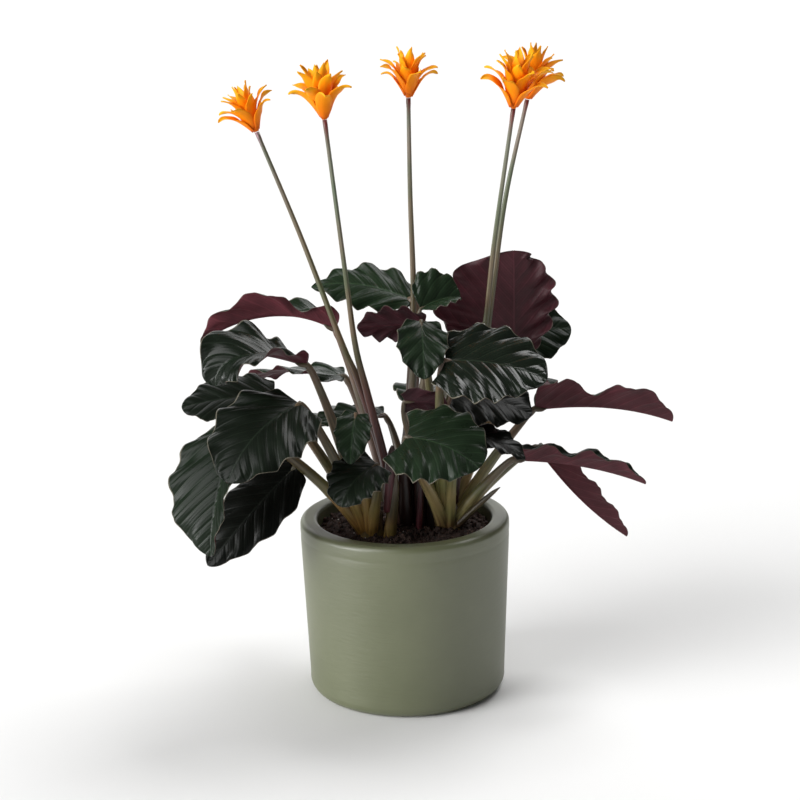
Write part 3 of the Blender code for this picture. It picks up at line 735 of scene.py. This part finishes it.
def stalk_skin(name, stops, shift):
    """Satin skin with fine lengthwise streaks, coloured by the place along the stalk.

    The shift moves the streaks, so that no two skins are alike.
    """
    made, shader, add, link = node_tree(name, 0.42)
    uv = add("ShaderNodeUVMap", uv_map="along_and_round").outputs["UV"]
    along = add("ShaderNodeSeparateXYZ", {"Vector": uv}).outputs["X"]
    stretch = {"Vector": uv, "Scale": (2.5, 14.0, 1.0), "Location": (shift, shift, 0)}
    stretched = add("ShaderNodeMapping", stretch).outputs["Vector"]
    streak = add("ShaderNodeTexNoise", {"Vector": stretched, "Scale": 1.0, "Detail": 5.0}).outputs["Fac"]
    place = add("ShaderNodeTexCoord").outputs["Object"]
    drift = add("ShaderNodeTexNoise", {"Vector": place, "Scale": 26.0, "Detail": 2.0}).outputs["Fac"]
    wander = add("ShaderNodeMath", {0: streak, 1: 0.20, 2: along}, operation="MULTIPLY_ADD")
    centred = add("ShaderNodeMath", {0: wander.outputs["Value"], 1: 0.10}, operation="SUBTRACT")
    body = colours_between(add, centred.outputs["Value"], stops)
    shade = colours_between(add, streak, [(0.3, (0.42, 0.42, 0.42)), (0.7, (1.1, 1.1, 1.1))])
    streaked = mixed_colours(add, 1.0, body, shade, how="MULTIPLY")
    blush = colours_between(add, drift, [(0.38, (0.72, 0.88, 0.80)), (0.62, (1.25, 0.98, 1.10))])
    link(mixed_colours(add, 1.0, streaked, blush, how="MULTIPLY"), shader.inputs["Base Color"])
    link(raised(add, streak, 0.5, 0.0004), shader.inputs["Normal"])
    return made


petiole_skins = {
    "left": stalk_skin("petiole_skin_left", LEFT_STALK, 3.0),
    "middle": stalk_skin("petiole_skin_middle", MIDDLE_STALK, 5.0),
    "right": stalk_skin("petiole_skin_right", RIGHT_STALK, 9.0),
    "back": stalk_skin("petiole_skin_back", BACK_STALK, 12.0),
}
for one in LEAVES:
    name, shoot = "petiole_" + one["name"], one["shoot"]
    petiole_mesh = tube_mesh(name, *petiole_path(one))
    put_on_plant(name, petiole_mesh, [petiole_skins[shoot]], "shoot", "shoot_" + shoot)


def sheath_bundle(x, y, folds, lean, steps=22, dome_steps=8):
    """A crown's fused sheaths: a tapering column with rounded folds, closed in a low dome at the top.

    Its radius at height h (0 to 1) and angle a is (11 - 1.5 h) (0.84 + 0.16 |cos(folds a / 2 + 1.5 h)|).
    """
    dome = 0.92 + 0.08 * np.sin(np.linspace(0.1, 0.5, dome_steps) * np.pi)
    height = np.concatenate([np.linspace(0, 0.92, steps), dome])
    z = SOIL_TOP - 6.0 + (CROWN_TOP + 7.0 - SOIL_TOP) * height
    path = np.stack([x + lean * height**2, np.full(len(height), y), z], axis=1)
    cap = np.concatenate([np.ones(steps), np.cos(np.linspace(0.1, 0.49, dome_steps) * np.pi)])
    turn = np.linspace(0, 2 * np.pi, 48, endpoint=False)
    fold = 0.84 + 0.16 * np.abs(np.cos(folds / 2 * turn[None] + 1.5 * height[:, None]))
    return path, ((CROWN_RADIUS - CROWN_TAPER * height) * cap)[:, None] * fold


for shoot, folds, lean in (("left", 4, 1.0), ("middle", 6, -1.0), ("right", 4, 2.0), ("back", 4, 0.0)):
    bundle = tube_mesh("sheaths_" + shoot, *sheath_bundle(*CROWNS[shoot], folds, lean), 48)
    put_on_plant("sheaths_" + shoot, bundle, [petiole_skins[shoot]], "shoot", "shoot_" + shoot)


# Old sheaths at the heart of the clump: short dry dark ones, a pink flower stem that never opened, a yellow
# one that has lost its leaf and a grey one whose tip sticks out. Each is a bent tube that runs to a point.
DARK_STALK = [(0.0, (0.020, 0.009, 0.007)), (0.5, (0.030, 0.011, 0.010)), (1.0, (0.045, 0.018, 0.018))]
PINK_STALK = [(0.0, (0.115, 0.030, 0.034)), (0.6, (0.095, 0.028, 0.036)), (1.0, (0.060, 0.030, 0.030))]
dark_sheath = stalk_skin("sheath_skin_dark", DARK_STALK, 15.0)
pink_sheath = stalk_skin("sheath_skin_pink", PINK_STALK, 16.0)
OLD_SHEATHS = [
    ("dark_a", (2, -5, 124), (1, -6, 160), (0, -5, 196), 6.0, 4.0, dark_sheath),
    ("dark_b", (12, -3, 124), (12, -4, 160), (11, -3, 204), 6.5, 4.0, dark_sheath),
    ("dark_c", (21, -6, 124), (22, -7, 156), (25, -6, 186), 5.5, 3.0, dark_sheath),
    ("pink", (10, -15, 124), (12, -18, 150), (14, -20, 178), 2.8, 2.0, pink_sheath),
    ("yellow", (-12, -24, 124), (-9, -29, 150), (-6, -33, 182), 5.0, 3.6, petiole_skins["left"]),
    ("crimson", (-13, -30, 150), (-11, -35, 176), (-8, -38, 203), 3.0, 4.6, pink_sheath),
    ("grey_tip", (40, -14, 132), (62, -24, 158), (72, -28, 166), 3.0, 1.2, petiole_skins["back"]),
]
for name, low, middle, high, foot_radius, top_radius, finish in OLD_SHEATHS:
    place = np.linspace(0, 1, 24)
    t = place[:, None]
    path = np.array(low) * (1 - t) ** 2 + np.array(middle) * 2 * t * (1 - t) + np.array(high) * t**2
    radius = foot_radius + (top_radius - foot_radius) * place
    radius *= np.minimum(1.0, 4.0 * (1.02 - place)) ** 0.6
    put_on_plant("old_sheath_" + name, tube_mesh("old_sheath_" + name, path, radius), [finish], "shoot")


# The flower stems: one tall slim stem for each flower head, wine brown low down and olive green above, with a
# small maroon ring or a short grey-lilac sheath just under the head.
FLOWER_STEM_FOOT, FLOWER_STEM_TOP = 3.9, 1.5
STEM_COLOURS = [
    (0.0, (0.045, 0.016, 0.014)),
    (0.26, (0.064, 0.022, 0.019)),
    (0.40, (0.080, 0.036, 0.024)),
    (0.55, (0.094, 0.072, 0.030)),
    (0.80, (0.130, 0.126, 0.064)),
    (0.965, (0.170, 0.180, 0.125)),
]
MAROON_RING = [(0.990, (0.150, 0.110, 0.075)), (1.0, (0.140, 0.020, 0.018))]
LILAC_SHEATH = [(0.985, (0.260, 0.210, 0.215)), (1.0, (0.300, 0.200, 0.210))]

# A name, the shoot, the head's size and turn in degrees, and the stem's route from the crown to the head.
FLOWERS = [
    (
        "far_left", "middle", 1.0, 20,
        [(-14, 0, 176), (-32, -1, 241), (-44, 5, 270), (-74, 20, 352), (-104, 30, 428)],
    ),
    (
        "left", "middle", 1.1, 100,
        [(-14, -9, 182), (-26, -11, 236), (-34, -11, 273), (-40, -10, 327), (-52, -10, 441)],
    ),
    (
        "middle", "middle", 0.98, 200,
        [(2, 10, 182), (6, 13, 236), (10, 15, 301), (9, 18, 380), (9, 20, 452)],
    ),
    (
        "right", "right", 1.15, 10,
        [(42, -2, 180), (54, 6, 236), (64, 12, 284), (71, 8, 347), (85, 0, 445)],
    ),
    (
        "far_right", "right", 1.1, 150,
        [(46, 10, 180), (60, 20, 236), (68, 24, 290), (80, 25, 374), (97, 30, 448)],
    ),
]


def stem_path(shoot, route, steps=20):
    """A smooth curve through the route's points, starting in the crown.

    Between two points it is a four-point curve whose inner points lie a sixth of the way along the line that
    joins the neighbours.
    """
    x, y = CROWNS[shoot]
    start = (x + (route[0][0] - x) * 0.3, y + (route[0][1] - y) * 0.3, SOIL_TOP + 1.0)
    places = np.array([start, *route], float)
    padded = np.vstack([places[0] * 2 - places[1], places, places[-1] * 2 - places[-2]])
    t = (np.arange(steps) / steps)[:, None]
    found = []
    for before, a, b, after in zip(padded[:-3], padded[1:-2], padded[2:-1], padded[3:]):
        found.append(four_point_curve(a, a + (b - before) / 6, b - (after - a) / 6, b, t))
    return np.vstack([*found, places[-1:]])


def stem_radius(count):
    """Radius along a flower stem: a taper that eases off upwards, and a slight swelling under the head."""
    t = np.linspace(0, 1, count)
    slim = FLOWER_STEM_TOP + (FLOWER_STEM_FOOT - FLOWER_STEM_TOP) * (1.0 - t) ** 1.25
    return slim + 0.35 * np.exp(-(((t - 0.995) / 0.008) ** 2))


ringed = stalk_skin("flower_stem_ringed", STEM_COLOURS + MAROON_RING, 7.0)
sheathed = stalk_skin("flower_stem_sheathed", STEM_COLOURS + LILAC_SHEATH, 8.0)
for flower, shoot, _, _, route in FLOWERS:
    name, path = "flower_stem_" + flower, stem_path(shoot, route)
    finish = sheathed if flower == "far_left" else ringed
    stem_mesh = tube_mesh(name, path, stem_radius(len(path)))
    put_on_plant(name, stem_mesh, [finish], "shoot", "shoot_" + shoot)


# The flower heads: a cup of waxy orange bracts set in a spiral on a short core. Each bract is keeled, ends
# in a point and bends outwards, and the reddish bases of the inner ones show between them; their deeper red
# is partly the bracts' own colour and partly painted shade down in the cup.
BRACTS, BLOOM_TURN, BRACT_HALF_WIDTH = 19, 137.5, 4.6
CORE_HEIGHTS, CORE_RADII = [0, 6, 17, 28], [1.9, 3.4, 4.4, 1.0]
BRACT_COLOURS = [
    # The first stop, darker red-orange at the bract bases, is partly their own colour and partly painted
    # shade in the cup.
    (0.10, (0.60, 0.085, 0.002)),
    (0.34, (0.86, 0.205, 0.0015)),
    (0.75, (0.92, 0.300, 0.0020)),
    (1.0, (0.82, 0.370, 0.0060)),
]


def bract_surface(index, foot, axis, size, turned):
    """Middle surface of one bract, over t from base to tip and w from -1 to 1 across it.

    Its centre line is a four-point curve that climbs steeply from the core and then turns out to its tip on
    the dome of tips. Half its width follows sin(pi (0.14 + 0.86 t))^0.9 from base to point. Its middle is
    sunk outwards below its edges like a keel, its edges ripple and it twists towards its point.
    """
    share = index / (BRACTS - 1)
    turn = math.radians(BLOOM_TURN * index + turned)
    across = np.cross(axis, [0.0, 1.0, 0.2])
    across /= np.linalg.norm(across)
    out = across * math.cos(turn) + np.cross(axis, across) * math.sin(turn)
    side = np.cross(axis, out)
    lift = math.radians(2.0 + 78.0 * share**1.2 + 6.0 * math.sin(3.3 * index))
    far = (24.0 - 4.0 * share + 2.0 * math.sin(5.1 * index)) * size
    tip = foot + axis * (16.0 + 2.0 * share) * size + (out * math.cos(lift) + axis * math.sin(lift)) * far
    start = foot + axis * (1.5 + 13.0 * share) * size + out * 1.2
    span = np.linalg.norm(tip - start)
    lean, level = math.radians(30.0 - 20.0 * share), lift - math.radians(38.0 * (1.0 - share))
    first = start + (axis * math.cos(lean) + out * math.sin(lean)) * span * 0.45
    second = tip - (out * math.cos(level) + axis * math.sin(level)) * span * 0.36
    t, w = np.meshgrid(np.linspace(0, 1, 17), np.linspace(-1, 1, 9), indexing="ij")
    s, r = t[..., None], 1 - t[..., None]
    at = four_point_curve(start, first, second, tip, s)
    ahead = (first - start) * r**2 + (second - first) * 2 * r * s + (tip - second) * s**2
    under = np.cross(side, ahead)
    under /= np.linalg.norm(under, axis=-1, keepdims=True)
    twist = math.radians(48.0 * math.sin(4.7 * index + 1.0)) * s**1.5
    right, below = side * np.cos(twist) + under * np.sin(twist), under * np.cos(twist) - side * np.sin(twist)
    full = BRACT_HALF_WIDTH * (1.15 - 0.3 * share)
    width = (full * np.sin(np.pi * (0.14 + 0.86 * t)) ** 0.9 + 0.12) * size
    frill = 0.55 * np.abs(w) ** 3 * np.sin(13 * t + 2.1 * index + w)
    depth = (2.0 - 1.3 * t) * (1 - w**2) * size + frill
    return at + right * width[..., None] * w[..., None] + below * depth[..., None], t, w


def bloom_mesh(name, route, size, turned):
    """The bracts of a head as thin closed shells round a core, with a UV map of place along and across."""
    end, before = np.array(route[-1], float), np.array(route[-2], float)
    axis = (end - before) / np.linalg.norm(end - before)
    foot = end + axis * 0.45
    points, faces, flats, start = [], [], [], 0
    for index in range(BRACTS):
        middle, t, w = bract_surface(index, foot, axis, size, turned)
        half = surface_normals(middle) * (0.30 - 0.15 * t[..., None])
        faces.append(shell_faces(np.arange(t.size).reshape(t.shape).T) + start)
        points.append(np.concatenate([middle + half, middle - half]).reshape(-1, 3))
        flats.append(np.tile(np.stack([t.ravel(), w.ravel() / 2 + 0.5], axis=1), (2, 1)))
        start += 2 * t.size
    height = np.linspace(0, CORE_HEIGHTS[-1], 12)
    core = tube_surface(foot + axis * (height * size)[:, None], np.interp(height, CORE_HEIGHTS, CORE_RADII))
    grid = np.arange(core.size // 3).reshape(core.shape[:2])
    faces.append(grid_cells(np.hstack([grid, grid[:, :1]])) + start)
    points.append(core.reshape(-1, 3))
    # The core takes the deepest red of the bract colours, partly painted shade at the bottom of the cup.
    flats.append(np.full((grid.size, 2), 0.05))
    mesh = mesh_from_faces("bloom_" + name, np.concatenate(points), np.concatenate(faces))
    add_uv_map(mesh, "along_and_across", np.concatenate(flats))
    return mesh


def bract_skin():
    """Waxy orange: red-orange at the base, clear orange along the blade and golden towards the tip.

    The darker red-orange at the base, which also colours the core, is partly painted shade in the cup.
    """
    made, shader, add, link = node_tree("bract_skin", 0.55)
    uv = add("ShaderNodeUVMap", uv_map="along_and_across").outputs["UV"]
    place = add("ShaderNodeSeparateXYZ", {"Vector": uv}).outputs["X"]
    stretched = add("ShaderNodeMapping", {"Vector": uv, "Scale": (3.0, 22.0, 1.0)}).outputs["Vector"]
    streak = add("ShaderNodeTexNoise", {"Vector": stretched, "Scale": 1.0, "Detail": 4.0}).outputs["Fac"]
    along = add("ShaderNodeMath", {0: streak, 1: 0.3, 2: place}, operation="MULTIPLY_ADD").outputs["Value"]
    link(colours_between(add, along, BRACT_COLOURS), shader.inputs["Base Color"])
    link(raised(add, streak, 0.5, 0.0004), shader.inputs["Normal"])
    shader.inputs["Specular IOR Level"].default_value = 0.15
    return made


bract_finish = bract_skin()
for name, _, size, turned, route in FLOWERS:
    head_mesh = bloom_mesh(name, route, size, turned)
    put_on_plant("bracts_" + name, head_mesh, [bract_finish], "bloom", "bloom_" + name)


# The studio: a pale seamless floor, a large soft light from the upper left, a low one from the left, one from
# above and a wide weak one from behind. The camera stands where the photograph was taken from.
FLOOR_EDGE, EYE, FOCAL_PIXELS, PHOTO_WIDTH = 40000.0, (-1.72, -1472.3, 619.7), 2019.0, 800.0
PITCH, ROLL = math.radians(14.907), math.radians(-1.176)
x, y = np.meshgrid([-FLOOR_EDGE, FLOOR_EDGE], [-FLOOR_EDGE, FLOOR_EDGE])
floor_mesh = mesh_from_grid("floor", np.stack([x, y, np.zeros((2, 2))], axis=-1), flip=True)
floor = bpy.data.objects.new("floor", floor_mesh)
bpy.context.scene.collection.objects.link(floor)
floor_finish, floor_shader, _, _ = node_tree("pale_floor", 0.8)
floor_shader.inputs["Base Color"].default_value = (0.76, 0.76, 0.755, 1.0)
floor_mesh.materials.append(floor_finish)


def soft_light(name, towards, angle, power):
    """A far light that shines the same everywhere. Its angle in degrees is how wide the plant sees it."""
    lamp = bpy.data.lights.new(name, "SUN")
    lamp.angle, lamp.energy = math.radians(angle), power
    stand = bpy.data.objects.new(name, lamp)
    stand.rotation_euler = Vector(towards).to_track_quat("-Z", "Y").to_euler()
    bpy.context.scene.collection.objects.link(stand)


soft_light("key_light", (0.80, 0.50, -0.62), 42, 2.4)
soft_light("side_light", (0.92, 0.39, -0.04), 30, 4.0)
soft_light("top_light", (-0.42, -0.42, -1.0), 34, 2.1)
soft_light("back_light", (0.10, -0.94, -0.33), 60, 1.0)
world = bpy.data.worlds.new("white_walls")
world.use_nodes = True
world.node_tree.nodes["Background"].inputs["Color"].default_value = (1.0, 1.0, 1.0, 1.0)
world.node_tree.nodes["Background"].inputs["Strength"].default_value = 0.145
bpy.context.scene.world = world
bpy.context.scene.view_settings.view_transform = "Standard"

camera = bpy.data.objects.new("camera", bpy.data.cameras.new("camera"))
camera.data.sensor_width = 36.0
camera.data.lens = FOCAL_PIXELS / PHOTO_WIDTH * camera.data.sensor_width
level, lift = Vector((1, 0, 0)), Vector((0, math.sin(PITCH), math.cos(PITCH)))
ahead = Vector((0, math.cos(PITCH), -math.sin(PITCH)))
right = level * math.cos(ROLL) + lift * math.sin(ROLL)
up = lift * math.cos(ROLL) - level * math.sin(ROLL)
camera.matrix_world = Matrix.Translation(Vector(EYE) * MM) @ Matrix(
    [(right[i], up[i], -ahead[i], 0) for i in range(3)] + [(0, 0, 0, 1)]
)
camera.data.clip_start, camera.data.clip_end = 0.05, 40.0
bpy.context.scene.collection.objects.link(camera)
bpy.context.scene.camera = camera
